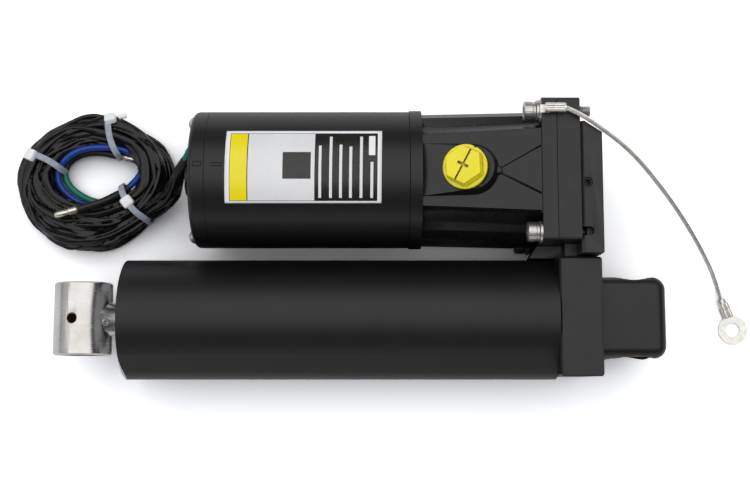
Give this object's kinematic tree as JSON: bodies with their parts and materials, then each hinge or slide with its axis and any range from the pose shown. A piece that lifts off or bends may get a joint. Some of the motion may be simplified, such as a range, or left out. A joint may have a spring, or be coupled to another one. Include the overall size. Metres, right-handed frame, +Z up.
{
  "type": "power trim and tilt unit",
  "caption": "Electric-hydraulic trim and tilt ram: black cylinder with lug and rod eye, side motor, reservoir with yellow fill cap, gear pump, valve body, ground strap and coiled lead.",
  "frame": {"origin": "centre of the pivot bore in the fixed lug, on the cylinder axis", "axes": "+X along the cylinder from the rod eye to the lug, +Y along the pivot bore towards the motor, +Z up as the unit lies on its back"},
  "size_m": [0.4321, 0.1645, 0.0899],
  "materials": {
    "anodised_black": "black hard-anodised aluminium, satin",
    "motor_black": "semi-gloss black enamel on steel",
    "cast_black": "black coated aluminium, satin",
    "moulded_black": "black glass-filled nylon, slight gloss",
    "stainless": "turned and polished stainless steel",
    "steel": "machined steel",
    "aluminium_plain": "machined aluminium",
    "bronze": "sintered bronze",
    "copper": "copper",
    "rubber_black": "nitrile rubber",
    "cap_yellow": "yellow moulded nylon",
    "magnet": "sintered ferrite",
    "carbon": "pressed carbon",
    "card": "phenolic board",
    "sleeve": "wrinkled black vinyl sleeve",
    "pvc_blue": "blue PVC wire insulation",
    "pvc_green": "green PVC wire insulation",
    "nylon_white": "natural nylon",
    "fibre": "black gasket sheet"
  },
  "bodies": {
    "unit": {"cylinder_barrel": "anodised_black", "cylinder_base": "cast_black", "base_o_ring": "rubber_black", "lug_bush": "bronze", "gland_cap": "aluminium_plain", "gland_o_ring": "rubber_black", "rod_wiper": "rubber_black", "rod_seal": "rubber_black", "motor_housing": "motor_black", "motor_end_cap": "motor_black", "rear_bearing": "bronze", "wire_grommet": "rubber_black", "front_bell": "motor_black", "front_bearing": "bronze", "through_bolts": "stainless", "field_magnets": "magnet", "carbon_brushes": "carbon", "brush_holder": "card", "reservoir": "moulded_black", "reservoir_seal": "fibre", "pump_body": "cast_black", "pump_cover": "aluminium_plain", "gear_pin": "steel", "stack_screws": "stainless", "lock_washers": "stainless", "flat_washers": "stainless", "valve_body": "cast_black", "valve_plug": "steel", "transfer_seal": "fibre", "strap_near_terminal": "stainless", "strap_far_terminal": "stainless", "strap_cable": "stainless", "harness_coil": "sleeve", "harness_lead": "sleeve", "wire_blue": "pvc_blue", "wire_green": "pvc_green", "cable_ties": "nylon_white", "bullet_terminals": "copper"},
    "ram": {"ram_rod": "stainless", "rod_eye": "stainless", "eye_bush": "bronze", "ram_piston": "steel", "piston_ring": "rubber_black", "piston_nut": "steel"},
    "relief_valves": {"relief_balls": "steel"},
    "memory": {"memory_piston": "aluminium_plain", "memory_o_ring": "rubber_black"},
    "rotor": {"motor_shaft": "steel", "armature_core": "steel", "armature_windings": "copper", "commutator": "copper", "drive_coupling": "steel", "drive_gear": "steel"},
    "driven": {"driven_gear": "steel"},
    "spool": {"shuttle_spool": "steel"},
    "rear_check": {"check_poppet_rear": "steel"},
    "front_check": {"check_poppet_front": "steel"},
    "release": {"release_screw": "steel"},
    "cap_lifting": {"cap_seal": "rubber_black"},
    "cap": {"fill_cap": "cap_yellow"}
  },
  "joints": [
    {"name": "ram_stroke", "type": "slide", "parent": "unit", "child": "ram", "axis": [-1, 0, 0], "range_m": [0, 0.155]},
    {"name": "memory_travel", "type": "slide", "parent": "unit", "child": "memory", "axis": [-1, 0, 0], "range_m": [0, 0.155]},
    {"name": "relief_lift", "type": "slide", "parent": "ram", "child": "relief_valves", "axis": [1, 0, 0], "range_m": [0, 0.0015]},
    {"name": "pump_spin", "type": "hinge", "parent": "unit", "child": "rotor", "pos_m": [-0.11, 0.0778, 0.0058], "axis": [1, 0, 0], "continuous": true},
    {"name": "driven_spin", "type": "hinge", "parent": "unit", "child": "driven", "pos_m": [-0.04, 0.0598, 0.0058], "axis": [1, 0, 0], "continuous": true},
    {"name": "spool_shift", "type": "slide", "parent": "unit", "child": "spool", "axis": [0, 1, 0], "range_m": [-0.0012, 0.0012]},
    {"name": "rear_check_lift", "type": "slide", "parent": "unit", "child": "rear_check", "axis": [0, -1, 0], "range_m": [0, 0.001]},
    {"name": "front_check_lift", "type": "slide", "parent": "unit", "child": "front_check", "axis": [0, 1, 0], "range_m": [0, 0.001]},
    {"name": "release_turn", "type": "hinge", "parent": "unit", "child": "release", "pos_m": [-0.0282, 0.0711, 0.03], "axis": [0, 0, 1], "range_deg": [0, 1080]},
    {"name": "cap_lift", "type": "slide", "parent": "unit", "child": "cap_lifting", "axis": [-0.2419, 0, 0.9703], "range_m": [0, 0.012]},
    {"name": "cap_turn", "type": "hinge", "parent": "cap_lifting", "child": "cap", "pos_m": [-0.0935, 0.0778, 0.04486], "axis": [-0.2419, 0, 0.9703], "range_deg": [0, 1440]}
  ],
  "couplings": [
    {"joint": "memory_travel", "follows": "ram_stroke", "ratio": 1},
    {"joint": "driven_spin", "follows": "pump_spin", "ratio": -1},
    {"joint": "cap_turn", "follows": "cap_lift", "rad_per_m": 2094.4}
  ]
}
